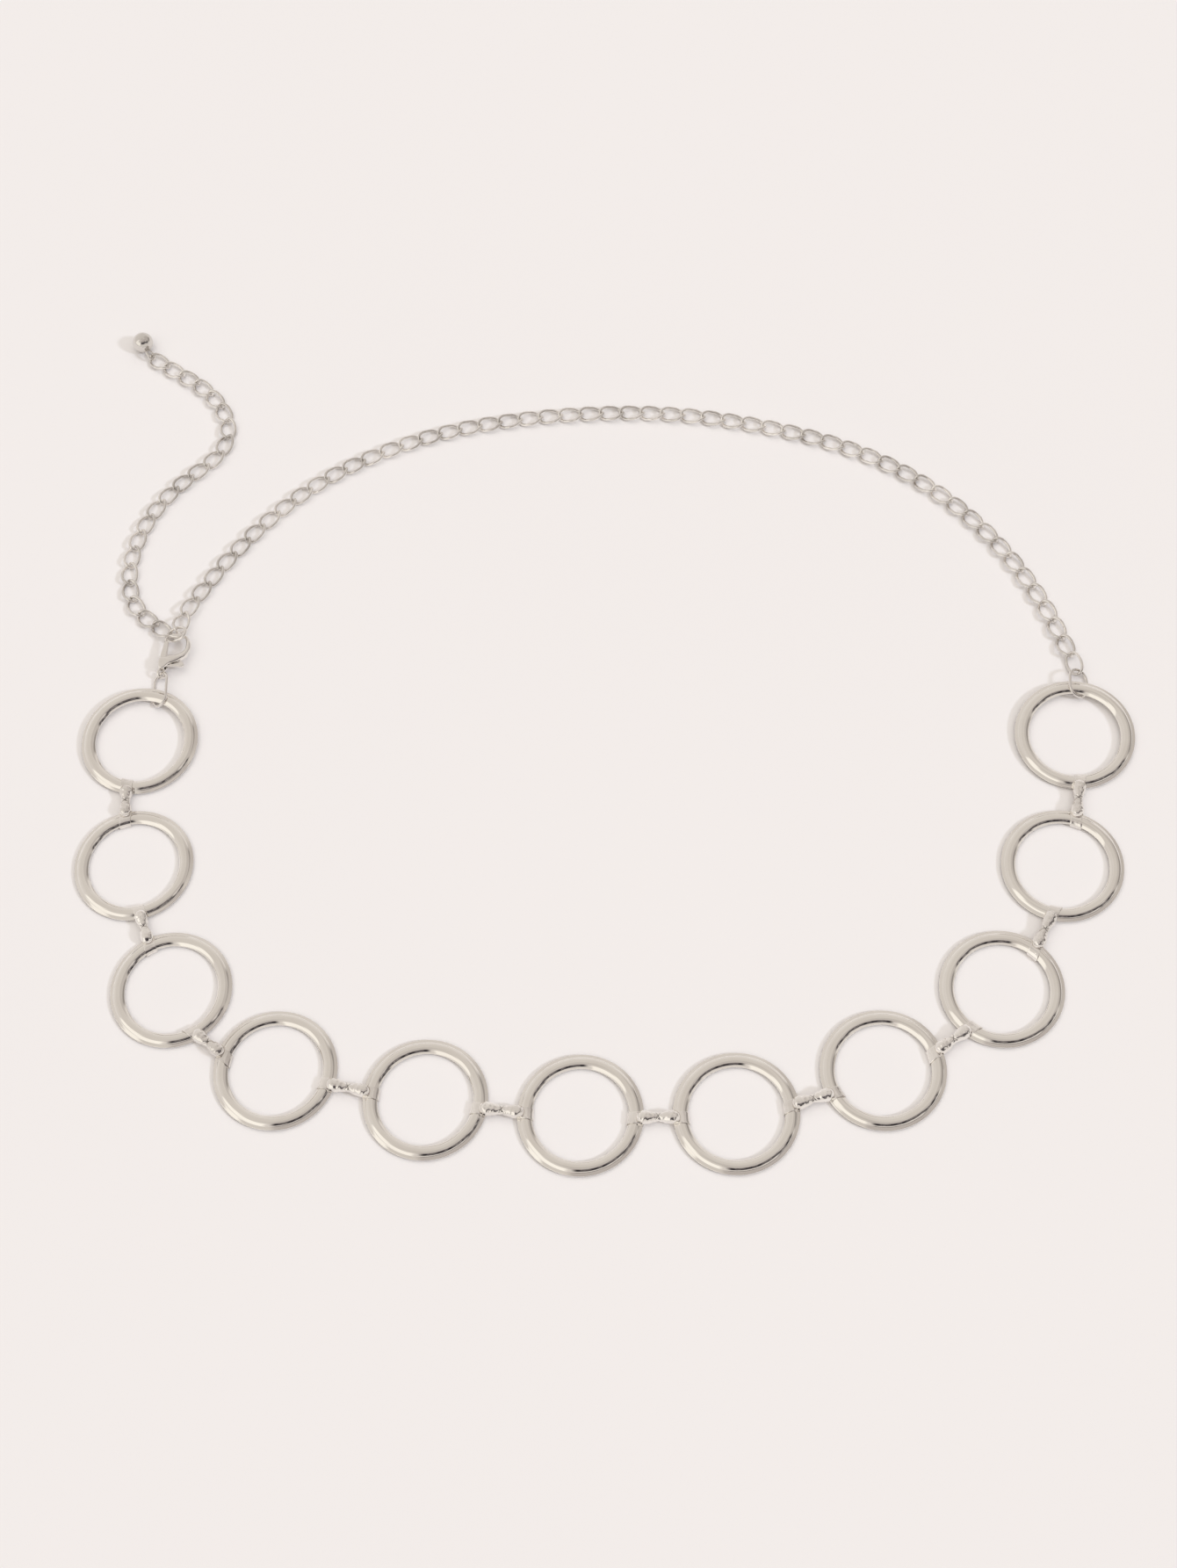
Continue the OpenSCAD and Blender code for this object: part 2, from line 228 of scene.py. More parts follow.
# The part's origin lies under the middle of its box: between the outermost rings at the
# sides, and between the lowest ring and the ball.
LEFTMOST, LOWEST = 1, 6
centre = -np.array([
    (ring_at[LEFTMOST][0] - R_OUT + ring_at[LAST][0] + R_OUT) / 2,
    (ring_at[LOWEST][1] - R_OUT + ball_pos[1] + BALL_D / 2) / 2,
    0,
])


# ---- mesh helpers, in millimetres ----

def shift(x, y, z):
    return Matrix.Translation((x, y, z))


def turn_about(deg, axis):
    return Matrix.Rotation(math.radians(deg), 4, axis)


def moved(points, matrix):
    m = np.array(matrix)
    return np.asarray(points, float) @ m[:3, :3].T + m[:3, 3]


def grid_faces(rows, cols, closed=True):
    """Quads of a tube of point rows; closed joins its last row to its first."""
    faces = []
    for i in range(rows if closed else rows - 1):
        for j in range(cols):
            i2, j2 = (i + 1) % rows, (j + 1) % cols
            faces.append((i * cols + j, i2 * cols + j, i2 * cols + j2, i * cols + j2))
    return faces


def capped_faces(rows, cols):
    """Faces of an open tube of rows, fanned at each end to a tip that follows the rows."""
    faces = grid_faces(rows, cols, closed=False)
    first, last = rows * cols, rows * cols + 1
    end = (rows - 1) * cols
    for j in range(cols):
        j2 = (j + 1) % cols
        faces.append((first, j, j2))
        faces.append((last, end + j2, end + j))
    return faces


class Shell:
    """Points and faces of one piece, gathered before it becomes a mesh."""

    def __init__(self):
        self.points = []
        self.faces = []
        self.count = 0

    def add(self, points, faces):
        self.points.append(np.asarray(points, float))
        self.faces.extend(tuple(v + self.count for v in f) for f in faces)
        self.count += len(points)

    def grid(self, points, rows, cols):
        self.add(points, grid_faces(rows, cols))

    def tube(self, path, normals, binormals, radius, sides):
        """Round wire along a closed path with a frame at each point."""
        t = np.linspace(0, 2 * math.pi, sides, endpoint=False)[None, :, None]
        ring = np.cos(t) * normals[:, None] + np.sin(t) * binormals[:, None]
        self.grid((path[:, None] + radius * ring).reshape(-1, 3), len(path), sides)

    def revolve(self, profile, segments):
        """Surface of revolution about X from (x, r) rows that start and end on the axis."""
        rows = profile[1:-1]
        t = np.linspace(0, 2 * math.pi, segments, endpoint=False)
        body = [(x, r * math.cos(a), r * math.sin(a)) for x, r in rows for a in t]
        body += [(profile[0][0], 0, 0), (profile[-1][0], 0, 0)]
        self.add(body, capped_faces(len(rows), segments))

    def move(self, matrix):
        self.points = [moved(p, matrix) for p in self.points]
        return self


def add_object(name, data):
    obj = bpy.data.objects.new(name, data)
    bpy.context.scene.collection.objects.link(obj)
    return obj


def piece(name, shell, material, node, body=BELT, sharp=60, recess=None):
    """Makes a shell into a piece that stands for a CAD node; sharp is its crease angle."""
    points = np.concatenate(shell.points) + centre
    mesh = bpy.data.meshes.new(name)
    mesh.from_pydata((points * MM).tolist(), [], shell.faces)
    mesh.update()
    face_outward(mesh)
    mesh.shade_smooth()
    mesh.set_sharp_from_angle(angle=math.radians(sharp))
    mesh.materials.append(material[0])
    if recess is not None:
        mesh.attributes.new("recess", "FLOAT", "POINT").data.foreach_set("value", recess)
    obj = add_object(name, mesh)
    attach(obj, body)
    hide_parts(node)


def face_outward(mesh):
    bm = bmesh.new()
    bm.from_mesh(mesh)
    bmesh.ops.recalc_face_normals(bm, faces=bm.faces)
    bm.to_mesh(mesh)
    bm.free()


# ---- materials ----

# Sockets of a colour Mix node
MIX_A, MIX_B, MIX_RESULT = 6, 7, 2

TONE_SCALE = 90
WAVE_HEIGHT = 0.0002
HAZE_HEIGHT = 0.00005
# colour of the painted shade laid into the connectors' crossed grooves
GROOVE_SHADE = (0.13, 0.115, 0.11)


def fill_ramp(ramp, stops):
    """Sets a colour ramp's stops, given as (position, colour) from left to right."""
    elements = ramp.color_ramp.elements
    for k, (pos, colour) in enumerate(stops):
        stop = elements[k] if k < 2 else elements.new(pos)
        stop.position = pos
        stop.color = (*colour, 1)


def polished(name, slot, tint, shade, rough, wave, wave_scale, grain_scale, shade_hollows=False):
    """Polished metal: slow waves left by the buffing wheel, fine haze, and faint toning.

    Its colour wanders between tint and shade. Its last flag darkens the mesh's hollows with painted
    shade.
    """
    mat = bpy.data.materials.new(name)
    mat.use_nodes = True
    nodes, links = mat.node_tree.nodes, mat.node_tree.links
    shader = nodes["Principled BSDF"]
    shader.inputs["Metallic"].default_value = 1.0
    place = nodes.new("ShaderNodeTexCoord")

    def noise(scale, detail, rough_in=0.5):
        n = nodes.new("ShaderNodeTexNoise")
        n.inputs["Scale"].default_value = scale
        n.inputs["Detail"].default_value = detail
        n.inputs["Roughness"].default_value = rough_in
        links.new(place.outputs["Object"], n.inputs["Vector"])
        return n

    def span(source, low, high, lo=0.3, hi=0.7):
        """Maps lo to hi of the source onto low to high."""
        m = nodes.new("ShaderNodeMapRange")
        m.inputs["From Min"].default_value = lo
        m.inputs["From Max"].default_value = hi
        m.inputs["To Min"].default_value = low
        m.inputs["To Max"].default_value = high
        links.new(source, m.inputs["Value"])
        return m.outputs["Result"]

    tone = nodes.new("ShaderNodeValToRGB")
    fill_ramp(tone, [(0.35, shade), (0.6, tint)])
    links.new(noise(TONE_SCALE, 4).outputs["Fac"], tone.inputs["Fac"])
    colour = tone.outputs["Color"]
    if shade_hollows:
        # painted shade in the hollows, where the grooves cross, kept in the mesh as "recess"
        deep = nodes.new("ShaderNodeAttribute")
        deep.attribute_name = "recess"
        mix = nodes.new("ShaderNodeMix")
        mix.data_type = "RGBA"
        links.new(span(deep.outputs["Fac"], 0.0, 0.9, 0.25, 0.95), mix.inputs["Factor"])
        links.new(colour, mix.inputs[MIX_A])
        mix.inputs[MIX_B].default_value = (*GROOVE_SHADE, 1)
        colour = mix.outputs[MIX_RESULT]
    links.new(colour, shader.inputs["Base Color"])

    haze = noise(grain_scale, 3, 0.65)
    links.new(span(haze.outputs["Fac"], rough * 0.6, rough * 1.6), shader.inputs["Roughness"])

    slow = nodes.new("ShaderNodeBump")
    slow.inputs["Strength"].default_value = wave
    slow.inputs["Distance"].default_value = WAVE_HEIGHT
    links.new(noise(wave_scale, 1.5).outputs["Fac"], slow.inputs["Height"])
    fine = nodes.new("ShaderNodeBump")
    fine.inputs["Strength"].default_value = 0.03
    fine.inputs["Distance"].default_value = HAZE_HEIGHT
    links.new(haze.outputs["Fac"], fine.inputs["Height"])
    links.new(slow.outputs["Normal"], fine.inputs["Normal"])
    links.new(fine.outputs["Normal"], shader.inputs["Normal"])
    return mat, slot


RING_METAL = polished(
    "ring_polish", "ring_chrome", (0.855, 0.830, 0.785), (0.825, 0.795, 0.750),
    rough=0.022, wave=0.2, wave_scale=160, grain_scale=2500)
# the connectors' hollows get painted shade
CONNECTOR_METAL = polished(
    "connector_polish", "connector_chrome", (0.91, 0.885, 0.85), (0.74, 0.71, 0.675),
    rough=0.045, wave=0.6, wave_scale=500, grain_scale=3000, shade_hollows=True)
WIRE_METAL = polished(
    "jump_wire", "wire_metal", (0.86, 0.835, 0.80), (0.76, 0.73, 0.70),
    rough=0.05, wave=0.35, wave_scale=700, grain_scale=3500)
CHAIN_METAL = polished(
    "chain_wire", "chain_metal", (0.88, 0.855, 0.82), (0.66, 0.635, 0.605),
    rough=0.05, wave=0.75, wave_scale=600, grain_scale=3500)
BALL_METAL = polished(
    "ball_polish", "ball_chrome", (0.82, 0.795, 0.76), (0.70, 0.675, 0.64),
    rough=0.035, wave=0.35, wave_scale=300, grain_scale=2500)
CLASP_METAL = polished(
    "clasp_casting", "clasp_metal", (0.85, 0.825, 0.79), (0.77, 0.74, 0.70),
    rough=0.055, wave=0.45, wave_scale=450, grain_scale=3000)
LEVER_METAL = polished(
    "lever_casting", "lever_metal", (0.84, 0.815, 0.78), (0.76, 0.73, 0.69),
    rough=0.06, wave=0.4, wave_scale=450, grain_scale=3000)


# ---- rings ----

def ring_pose(i):
    """Place of ring i; an end ring is tilted up on its free side, where its jump ring passes."""
    tilt = END_TILT if i in (0, LAST) else 0
    toward_free = STEP_BEARING[0] + 180 if i == 0 else STEP_BEARING[LAST - 1]
    edge = (R_OUT + RING_LIFT) * along(toward_free)
    c = ring_at[i]
    return (
        shift(c[0] - edge[0], c[1] - edge[1], RING_LIFT)
        @ turn_about(tilt, Vector((*right_of(toward_free), 0)))
        @ shift(edge[0], edge[1], 0)
    )


# Slope of the band's top in degrees, by distance from its crest. The crest lies a little
# inside the middle of the band; outward the round back ends in a flatter facet.
CREST_X = -0.36
INNER_SLOPE = [
    (0, 0), (0.35, 6), (0.62, 14), (0.78, 23), (0.92, 30), (1.2, 35), (1.45, 39), (1.74, 44),
    (1.97, 49),
]
OUTER_SLOPE = [
    (0, 0), (0.3, 4), (0.58, 9), (0.68, 17), (0.76, 22), (0.9, 28), (1.08, 32), (1.28, 35),
    (1.48, 39), (1.66, 44), (1.74, 32), (1.82, 23), (2.3, 20), (2.67, 23),
]
# Waves of the slope that the buffing wheel leaves: size in degrees, turns in radians for
# each millimetre, and where along the slope they begin and how soon they are full.
RIPPLE, RIPPLE_RATE, RIPPLE_FROM, RIPPLE_RISE = 1.3, 12.5, 0.7, 0.3
# Rows of the section lie further apart on the flat crest than on the shoulders.
CREST_RUN, CREST_STEP, SHOULDER_STEP = 0.5, 0.17, 0.085
EDGE_INSET = 0.01
RING_TURNS = 200


def ripple(run):
    shown = min(max((run - RIPPLE_FROM) / RIPPLE_RISE, 0), 1)
    return RIPPLE * math.sin(run * RIPPLE_RATE) * shown


def slope_rows(table, sign):
    """(x, z, slope) rows from the crest to an edge; the slope is signed to fall away from it."""
    rows = [(CREST_X, RING_H, 0.0)]
    end = table[-1][0]
    run = 0.0
    z = RING_H
    while run < end - 1e-6:
        step = min(CREST_STEP if run < CREST_RUN else SHOULDER_STEP, end - run)
        slope = lookup(run + step / 2, table) + ripple(run + step / 2)
        z -= step * math.tan(math.radians(slope))
        run += step
        rows.append((CREST_X + sign * run, z, sign * lookup(run, table)))
    return rows


def top_rows():
    """Rows of the band's top, from its inner edge to its outer edge."""
    return slope_rows(INNER_SLOPE, -1)[::-1] + slope_rows(OUTER_SLOPE, 1)[1:]


def band_section():
    """Closed section: over the top from the inner to the outer edge, and back underneath."""
    top = top_rows()
    half = BAND / 2 - EDGE_INSET
    rows = [(x, z) for x, z, _ in top]
    for sign, z in ((1, top[-1][1]), (-1, top[0][1])):
        # a soft corner, the upright edge, and a soft corner below
        side = [
            (half - 0.025, z - 0.05), (half, z - 0.11), (half, 0.06), (half - 0.03, 0.02),
            (half - 0.1, 0),
        ]
        side = [(sign * x, zz) for x, zz in side]
        rows += side if sign > 0 else [(0.8, 0), (-0.8, 0)] + side[::-1]
    return rows


SECTION = band_section()


def build_ring(i):
    t = np.linspace(0, 2 * math.pi, RING_TURNS, endpoint=False)
    sec = np.array(SECTION)
    r = R_MID + sec[:, 0]
    points = np.stack([
        np.cos(t)[:, None] * r[None], np.sin(t)[:, None] * r[None],
        np.repeat(sec[None, :, 1], RING_TURNS, 0),
    ], -1).reshape(-1, 3)
    shell = Shell()
    shell.grid(points, RING_TURNS, len(sec))
    shell.move(ring_pose(i))
    name = f"ring_{i + 1:02d}"
    piece(name + "_band", shell, RING_METAL, name)


for i in range(RINGS):
    build_ring(i)


# ---- connectors ----

BEAD_R = BULGE_D / 2 + 0.05
PINCH_R = WAIST_D / 2 - 0.05
PEAR_POWER = 1.35
BAR_ROWS, BAR_SEGMENTS = 84, 72

# Directions of the bar's soft facets, in degrees from its top, how crisp they are, and
# their distance from the axis
FACETS = [0, 37, 80, 122, 180, 238, 280, 323]
FACET_CRISP = 16
FACET_REACH = 0.975

# The two crossed grooves on the pinch: depth, half width, how far they slant along the bar
# for each radian round it, the swelling between them, and the half sizes of their area
# round the bar (radians) and along it
GROOVE_DEPTH, GROOVE_HALF_W, GROOVE_SLANT, SWELLING = 0.26, 0.17, 0.85, 0.08
GROOVE_ROUND, GROOVE_ALONG = 1.3, 1.15
MARK_DEPTH = 0.05
MARK_FULL_R = 1.2


def facet_scale(a):
    """How far the faceted section reaches in direction a, against a circle of radius 1."""
    total = sum(max(math.cos(a - math.radians(f)), 0) ** FACET_CRISP for f in FACETS)
    return FACET_REACH * total ** (-1 / FACET_CRISP)


def bar_radius(x, half):
    """Radius of the plain bar at x from its middle: a pear at each end, a pinched middle."""
    x = abs(x)
    cx = half - BEAD_R
    if x >= cx:
        return math.sqrt(max(BEAD_R ** 2 - (x - cx) ** 2, 0))
    u = x / cx
    return PINCH_R + (BEAD_R - PINCH_R) * math.sin(u * math.pi / 2) ** PEAR_POWER


def hammer_mark(x, a, seed):
    """Uneven waves over the bar, at x along it and angle a round it."""
    return (
        math.cos(2.1 * x + 1.7 * seed) * math.cos(2 * a + 0.9 * seed)
        + math.cos(3.3 * x - 2.3 * seed) * math.cos(3 * a + 1.3 * seed)
        + 0.7 * math.cos(4.4 * x + 0.6 * seed + 2 * a)
    )


def add_bar(shell, half, seed):
    """The bar's skin: soft hammer marks, and two grooves that cross on top of the pinch.

    Gives how deep in a hollow each point lies, from 0 to 1, where the material paints shade.
    """
    xs = [-half * math.cos(math.pi * k / BAR_ROWS) for k in range(1, BAR_ROWS)]
    points = []
    recess = []
    for x in xs:
        base = bar_radius(x, half)
        for j in range(BAR_SEGMENTS):
            a = 2 * math.pi * j / BAR_SEGMENTS
            up = (a - math.pi / 2 + math.pi) % (2 * math.pi) - math.pi
            near = math.exp(-(up / GROOVE_ROUND) ** 4 - (x / GROOVE_ALONG) ** 4)
            cross = min(1, sum(
                math.exp(-((x - d * GROOVE_SLANT * up) / GROOVE_HALF_W) ** 2) for d in (1, -1)
            ))
            r = base * facet_scale(up) - near * (GROOVE_DEPTH * cross - SWELLING)
            r += MARK_DEPTH * hammer_mark(x, a, seed) * min(1, base / MARK_FULL_R)
            points.append((x, r * math.cos(a), r * math.sin(a)))
            recess.append(near * cross)
    points += [(-half, 0, 0), (half, 0, 0)]
    shell.add(points, capped_faces(len(xs), BAR_SEGMENTS))
    return recess + [0, 0]


def strap_loop(g_top, g_under):
    """Closed (offset from the band's middle, z) loop round the band, grown by the given gaps."""
    half = BAND / 2
    over = []
    for x, z, slope in top_rows()[1:-1:4]:
        lean = math.radians(slope)
        over.append((x + g_top * math.sin(lean), z + g_top * math.cos(lean)))
    under = []
    for sign in (1, -1):
        turn = [
            (half + g_top * 0.9, 0.45), (half + g_top, 0.2),
            (half + g_top * 0.95, -g_under * 0.55), (half + g_top * 0.6, -g_under * 0.93),
            (half + g_top * 0.2, -g_under), (half * 0.5, -g_under),
        ]
        turn = [(sign * x, z) for x, z in turn]
        under += turn if sign > 0 else turn[::-1]
    return np.array(over + under)


STRAP_RISE = 0.46
STRAP_INSIDE = 0.06
STRAP_BEVEL = 0.1
STRAP_SOFT = 0.03
OUTER_LOOP = strap_loop(STRAP_RISE, RING_LIFT)
INNER_LOOP = strap_loop(STRAP_INSIDE, STRAP_INSIDE)


def strap_shell(i, side):
    """The strap that wraps ring i + side where connector i ends."""
    ring = ring_at[i + side]
    b = along(STEP_BEARING[i])
    n = np.array([-b[1], b[0]])
    sign = 1 - 2 * side
    tip = connector_at[i] - sign * half_span[i] * b
    across = float(np.dot(tip - ring, n))
    half = STRAP_W / 2
    # (place across the strap, how far the loop is drawn in there)
    cols = [(-half, STRAP_BEVEL), (-half + STRAP_SOFT, STRAP_SOFT), (-half + STRAP_BEVEL, 0)]
    cols += [(t, 0) for t in np.linspace(-half + STRAP_BEVEL, half - STRAP_BEVEL, 9)[1:-1]]
    cols += [(half - STRAP_BEVEL, 0), (half - STRAP_SOFT, STRAP_SOFT), (half, STRAP_BEVEL)]
    inward = OUTER_LOOP.mean(0) - OUTER_LOOP
    inward /= np.linalg.norm(inward, axis=1)[:, None]
    rows = [(t, OUTER_LOOP + inward * inset) for t, inset in cols]
    rows += [(t, INNER_LOOP) for t in (half, 0.0, -half)]
    points = []
    for t, loop in rows:
        side_at = across + t
        for off, z in loop:
            u = sign * math.sqrt((R_MID + off) ** 2 - side_at ** 2)
            p = u * b + side_at * n
            points.append((p[0], p[1], z))
    shell = Shell()
    shell.grid(points, len(rows), len(OUTER_LOOP))
    return shell.move(ring_pose(i + side))


def build_connector(i):
    shell = Shell()
    recess = add_bar(shell, half_span[i], i)
    c = connector_at[i]
    shell.move(shift(c[0], c[1], CONNECTOR_Z) @ turn_about(STEP_BEARING[i], "Z"))
    for side in (0, 1):
        strap = strap_shell(i, side)
        shell.add(strap.points[0], strap.faces)
        recess += [0] * strap.count
    name = f"connector_{i + 1:02d}"
    piece(name + "_bar", shell, CONNECTOR_METAL, name, sharp=45, recess=recess)


for i in range(LAST):
    build_connector(i)


# ---- jump rings ----

OVAL_ARC_STEPS, OVAL_FLAT_STEPS, OVAL_SIDES = 36, 8, 20


def oval_path(half_len, half_w):
    """Closed oval centre line in XY with its outward normals; the outer tip is at X = 0."""
    flat = half_len - half_w
    pts, nrm = [], []
    for sign in (1, -1):
        for k in range(OVAL_ARC_STEPS):
            a = -math.pi / 2 + math.pi * k / OVAL_ARC_STEPS
            x = sign * (flat + half_w * math.cos(a)) - half_len
            pts.append((x, sign * half_w * math.sin(a), 0))
            nrm.append((sign * math.cos(a), sign * math.sin(a), 0))
        for k in range(OVAL_FLAT_STEPS):
            x = sign * (flat - 2 * flat * k / OVAL_FLAT_STEPS) - half_len
            pts.append((x, sign * half_w, 0))
            nrm.append((0, sign, 0))
    return np.array(pts), np.array(nrm)


def add_oval(shell, half_len, half_w, wire):
    path, normals = oval_path(half_len, half_w)
    up = np.zeros_like(path)
    up[:, 2] = 1
    shell.tube(path, normals, up, wire / 2, OVAL_SIDES)


def build_jump(name, tip, z, turn, roll, length, half_w):
    shell = Shell()
    add_oval(shell, length / 2, half_w, JUMP_WIRE_D)
    shell.move(shift(tip[0], tip[1], z) @ turn_about(turn, "Z") @ turn_about(roll, "X"))
    piece(name + "_wire", shell, WIRE_METAL, name)


build_jump("jump_ring_right", right_tip, RIGHT_JUMP_Z, RIGHT_BEARING, RIGHT_ROLL,
           RIGHT_REACH + JUMP_IN, RIGHT_HALF_W)
build_jump("clasp_jump_ring", left_tip, LEFT_JUMP_Z, LEFT_BEARING, LEFT_ROLL,
           LEFT_REACH + JUMP_IN + LEFT_PLAY, LEFT_HALF_W)


# ---- chains ----

# The wire's thickness, how far its centre line lies inside the solid link's, how straight
# the link's sides are (2 is an ellipse), and how far its twist is drawn to its ends (1 is even)
LINK_WIRE = 1.04
LINK_INSET = 0.025
LINK_POWER = 2.2
TWIST_POWER = 1.5
LINK_SECTIONS = 64
WIRE_SIDES = 14


def link_points(twist):
    """Round wire along an oval in XY that is twisted about X, by the same angle at either end."""
    a, b = LINK_HALF - LINK_INSET, LINK_HALF_W - LINK_INSET
    t = np.linspace(0, 2 * math.pi, LINK_SECTIONS, endpoint=False)[:, None]
    w = np.linspace(0, 2 * math.pi, WIRE_SIDES, endpoint=False)[None]
    ct, st = np.cos(t), np.sin(t)
    along_x = np.sign(ct) * np.abs(ct) ** (2 / LINK_POWER)
    across = np.sign(st) * np.abs(st) ** (2 / LINK_POWER)
    nx = np.sign(ct) * np.abs(along_x) ** (LINK_POWER - 1) / a
    nv = np.sign(st) * np.abs(across) ** (LINK_POWER - 1) / b
    size = np.hypot(nx, nv)
    r = LINK_WIRE / 2
    x = a * along_x + r * np.cos(w) * nx / size
    v = b * across + r * np.cos(w) * nv / size
    s = r * np.sin(w) + 0 * t
    turn = np.radians(twist) * np.sign(ct) * np.abs(ct) ** TWIST_POWER
    y = v * np.cos(turn) - s * np.sin(turn)
    z = v * np.sin(turn) + s * np.cos(turn)
    return np.stack([x, y, z], -1).reshape(-1, 3)


def add_link(shell, at, z, bearing, lift, roll, twist):
    """A link centred at a place and height, with its far end lifted by some degrees."""
    matrix = (
        shift(at[0], at[1], z) @ turn_about(bearing, "Z")
        @ turn_about(-lift, "Y") @ turn_about(roll, "X")
    )
    shell.grid(moved(link_points(twist), matrix), LINK_SECTIONS, WIRE_SIDES)


def add_run(shell, ends, route, turn, step, heights, unlike):
    """Links between neighbouring ends; unlike gives (roll, twist) of those that differ."""
    for i in range(1, len(ends)):
        z0, z1 = lookup(i - 1, heights), lookup(i, heights)
        lift = math.degrees(math.atan2(z1 - z0, step))
        roll, twist = unlike.get(i, (0, LINK_TWIST))
        middle = (ends[i - 1] + ends[i]) / 2
        add_link(shell, middle, (z0 + z1) / 2, lookup(i, route) + turn, lift, roll, twist)


def build_chains():
    waist = Shell()
    add_run(waist, main_joints, MAIN_ROUTE, ROUTE_TURN, PITCH, MAIN_HEIGHT,
            {1: (FLAT_ROLL, 0), MAIN_LINKS: (LAST_ROLL, LAST_TWIST)})
    add_link(waist, held_pos, CLASP_Z - HELD_DROP, held_dir, HELD_LEAN, HELD_ROLL, 0)
    piece("waist_chain_links", waist, CHAIN_METAL, "waist_chain")
    tail = Shell()
    add_run(tail, tail_joints, TAIL_ROUTE, 0, TAIL_PITCH, TAIL_HEIGHT,
            {1: (FIRST_ROLL, FIRST_TWIST)})
    piece("tail_chain_links", tail, CHAIN_METAL, "tail_chain")


build_chains()


# ---- end ball ----

BALL_ROWS, BALL_SEGMENTS = 40, 72


def build_ball():
    shell = Shell()
    add_oval(shell, EYE_HALF_LEN, EYE_HALF_W, EYE_WIRE_D)
    shell.move(shift(EYE_FROM + EYE_HALF_LEN, 0, 0) @ turn_about(EYE_ROLL, "X"))
    ball = Shell()
    r = BALL_D / 2
    angles = [math.pi * k / BALL_ROWS for k in range(BALL_ROWS + 1)]
    ball.revolve([(-r * math.cos(a), r * math.sin(a)) for a in angles], BALL_SEGMENTS)
    ball.move(shift(BALL_REACH, 0, 0))
    shell.add(ball.points[0], ball.faces)
    p = tail_joints[-1]
    z = BALL_D / 2 - BALL_REACH * math.sin(math.radians(BALL_RISE))
    shell.move(shift(p[0], p[1], z) @ turn_about(BALL_BEARING, "Z") @ turn_about(-BALL_RISE, "Y"))
    piece("end_ball_polished", shell, BALL_METAL, "end_ball")


build_ball()


# ---- clasp: signed distances on a grid, turned into one smooth casting ----

BODY_GRID, LEVER_GRID = 0.11, 0.1
OUTLINE_STEPS = 5

# Body: how far its edges are rounded at the root, on the cheeks and on the hook, how thin the
# hook is, where the cheeks and the root end, and how softly the root runs into the hook
ROOT_EDGE, CHEEK_EDGE, HOOK_EDGE = 1.15, 0.5, 0.95
HOOK_THIN = 0.66
CHEEK_TOP, CHEEK_RIGHT, ROOT_TOP = 4.8, 2.6, 8.2
ROOT_BLEND = 2.4

# Eye: radius of its middle line, half thickness in its plane and across it, and its hole
RIM_R, RIM_HALF, RIM_HALF_ACROSS = 1.52, 0.48, 0.68
HOLE_R, HOLE_HALF = 1.02, 1.4

# Pin and its rivet head, a low dome on the upper cheek
PIN_HALF = 1.2
HEAD_R, HEAD_SUNK, HEAD_FLAT = 0.62, 0.35, 1.6

LEVER_EDGE = 0.3
HUB_R = 1.6


def smooth_outline(outline, steps):
    """Points of a smooth closed curve through an outline's points."""
    pts = np.array(outline, float)
    n = len(pts)
    out = []
    for i in range(n):
        p0, p1, p2, p3 = (pts[(i + k) % n] for k in (-1, 0, 1, 2))
        for k in range(steps):
            t = k / steps
            out.append(0.5 * (
                2 * p1 + (p2 - p0) * t + (2 * p0 - 5 * p1 + 4 * p2 - p3) * t ** 2
                + (3 * p1 - p0 - 3 * p2 + p3) * t ** 3
            ))
    return np.array(out)


def outline_distance(outline, xs, ys):
    """Signed distance to a closed outline on a grid, negative inside."""
    gx, gy = np.meshgrid(xs, ys, indexing="ij")
    best = np.full(gx.shape, 1e9)
    inside = np.zeros(gx.shape, bool)
    n = len(outline)
    for i in range(n):
        ax, ay = outline[i]
        bx, by = outline[(i + 1) % n]
        ex, ey = bx - ax, by - ay
        wx, wy = gx - ax, gy - ay
        t = np.clip((wx * ex + wy * ey) / max(ex * ex + ey * ey, 1e-12), 0, 1)
        best = np.minimum(best, (wx - t * ex) ** 2 + (wy - t * ey) ** 2)
        cross = (ay > gy) != (by > gy)
        with np.errstate(divide="ignore", invalid="ignore"):
            at = ax + (gy - ay) * ex / (by - ay if by != ay else 1e-12)
        inside ^= cross & (gx < at)
    d = np.sqrt(best)
    return np.where(inside, -d, d)


def soft_max(a, b, k):
    """The greater of two fields, rounded where they differ by less than k."""
    h = np.clip(0.5 + 0.5 * (a - b) / k, 0, 1)
    return b + (a - b) * h + k * h * (1 - h)


def soft_min(a, b, k):
    return -soft_max(-a, -b, k)


